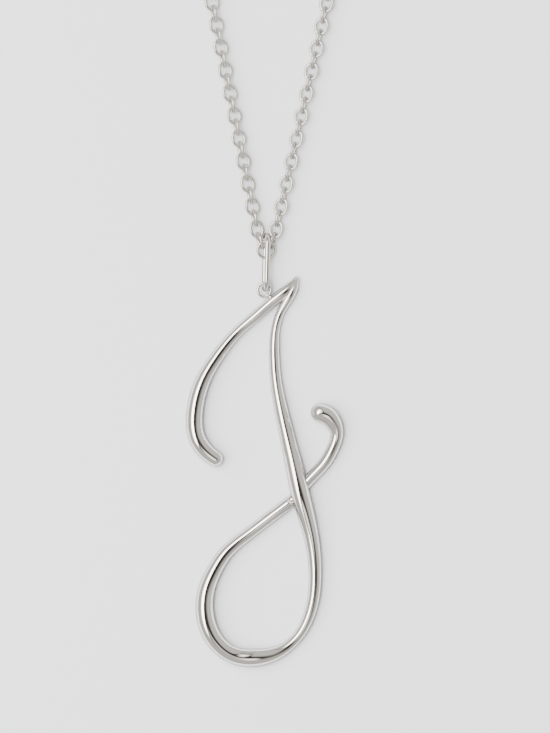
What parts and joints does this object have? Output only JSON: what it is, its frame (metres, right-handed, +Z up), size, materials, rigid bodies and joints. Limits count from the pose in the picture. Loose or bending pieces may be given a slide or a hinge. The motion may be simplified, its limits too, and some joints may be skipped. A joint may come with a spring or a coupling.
{
  "type": "initial pendant on a neck chain",
  "caption": "Polished pendant in the form of a script capital letter, with a long oval bail on a round cable neck chain laid out as a loop.",
  "frame": {"origin": "on the surface that the necklace lies on, below the middle of its whole outline", "axes": "+Z up from the surface, +Y from the letter to the clasp along the loop, +X to the right of somebody looking down"},
  "size_m": [0.0712, 0.2676, 0.0037],
  "materials": {
    "polished_silver": "mirror-polished silver, bright and slightly warm"
  },
  "bodies": {
    "root": {"letter": "polished_silver", "bail": "polished_silver", "centre_ring": "polished_silver", "chain_left": "polished_silver", "chain_right": "polished_silver", "clasp": "polished_silver"}
  },
  "joints": []
}
